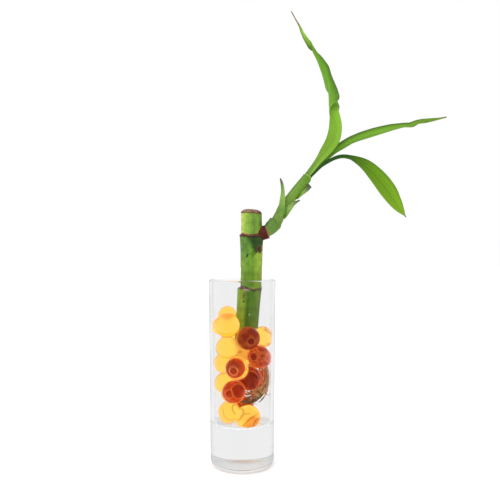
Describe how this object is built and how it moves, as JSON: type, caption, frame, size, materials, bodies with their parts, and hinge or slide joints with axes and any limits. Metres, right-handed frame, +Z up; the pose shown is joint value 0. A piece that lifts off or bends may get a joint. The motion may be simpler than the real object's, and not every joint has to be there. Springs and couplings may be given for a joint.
{
  "type": "lucky bamboo",
  "caption": "Lucky bamboo cutting with a leafy side shoot, rooted among yellow and red gel beads in a tall heavy-based glass.",
  "frame": {"origin": "middle of the glass's flat base, on the surface that it stands on", "axes": "+Z up along the glass, +X toward the side shoot, and the front faces -Y"},
  "size_m": [0.14, 0.038, 0.261],
  "materials": {
    "glass": "clear, polished",
    "yellow_gel": "clear, wet",
    "red_gel": "clear, wet",
    "cane": "waxy, smooth",
    "root": "fibrous",
    "shoot": "waxy",
    "bud_scale": "dry, papery",
    "leaf": "waxy, veined"
  },
  "bodies": {
    "root": {"glass": "glass", "gel_bead_01": "yellow_gel", "gel_bead_02": "yellow_gel", "gel_bead_03": "yellow_gel", "gel_bead_04": "yellow_gel", "gel_bead_05": "red_gel", "gel_bead_06": "red_gel", "gel_bead_07": "red_gel", "gel_bead_08": "red_gel", "gel_bead_09": "red_gel", "gel_bead_10": "red_gel", "gel_bead_11": "yellow_gel", "gel_bead_12": "yellow_gel", "gel_bead_13": "yellow_gel", "gel_bead_14": "yellow_gel", "gel_bead_15": "yellow_gel", "gel_bead_16": "yellow_gel", "gel_bead_17": "red_gel", "gel_bead_18": "yellow_gel", "gel_bead_19": "red_gel", "cane": "cane", "roots": "root", "shoot": "shoot", "bud_scale": "bud_scale", "leaf_upright": "leaf", "leaf_outer": "leaf", "leaf_arching": "leaf"}
  },
  "joints": []
}
